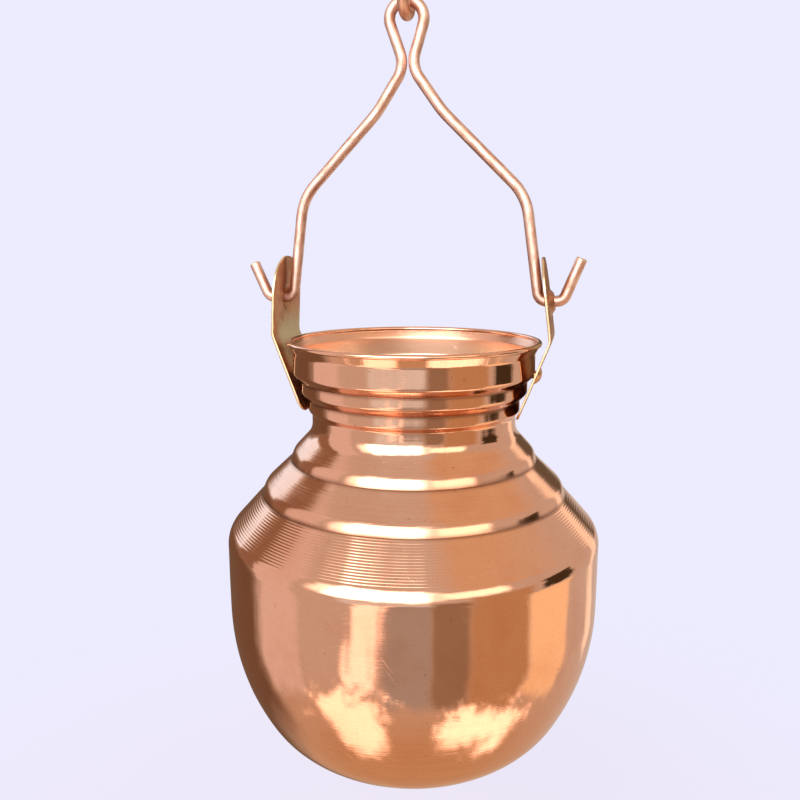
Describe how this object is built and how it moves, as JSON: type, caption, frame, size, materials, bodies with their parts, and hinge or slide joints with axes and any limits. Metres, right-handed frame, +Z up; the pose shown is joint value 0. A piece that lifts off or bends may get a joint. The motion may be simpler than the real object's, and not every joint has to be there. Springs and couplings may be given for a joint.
{
  "type": "hanging drip vessel",
  "caption": "Round copper pot with a stepped shoulder and banded neck, hung by a bent wire bail on an S-hook, that drips water through a small hole in its base.",
  "frame": {"origin": "top of the inside of the S-hook's upper bend, where it rests on the ring or rod that it hangs from", "axes": "+Z up, +X through the two ears along the pins of the bail, -Y towards the viewer of the picture"},
  "size_m": [0.1416, 0.1416, 0.3052],
  "materials": {
    "polished_copper": "polished",
    "sheet_copper": "dull rolled sheet",
    "rivet_copper": "hammered",
    "wire_copper": "satin drawn wire",
    "hook_copper": "satin drawn wire"
  },
  "bodies": {
    "hook": {"hanging_hook": "hook_copper"},
    "bail": {"bail": "wire_copper"},
    "vessel": {"bowl": "polished_copper", "shoulder_and_neck": "polished_copper", "left_ear": "sheet_copper", "right_ear": "sheet_copper", "left_rivet": "rivet_copper", "right_rivet": "rivet_copper"}
  },
  "joints": [
    {"name": "bail_swing", "type": "hinge", "parent": "hook", "child": "bail", "pos_m": [0, 0, -0.0215], "axis": [1, 0, 0], "range_deg": [-75, 75]},
    {"name": "vessel_tilt", "type": "hinge", "parent": "bail", "child": "vessel", "pos_m": [0.0032, 0, -0.1246], "axis": [1, 0, 0], "range_deg": [-110, 110]}
  ]
}
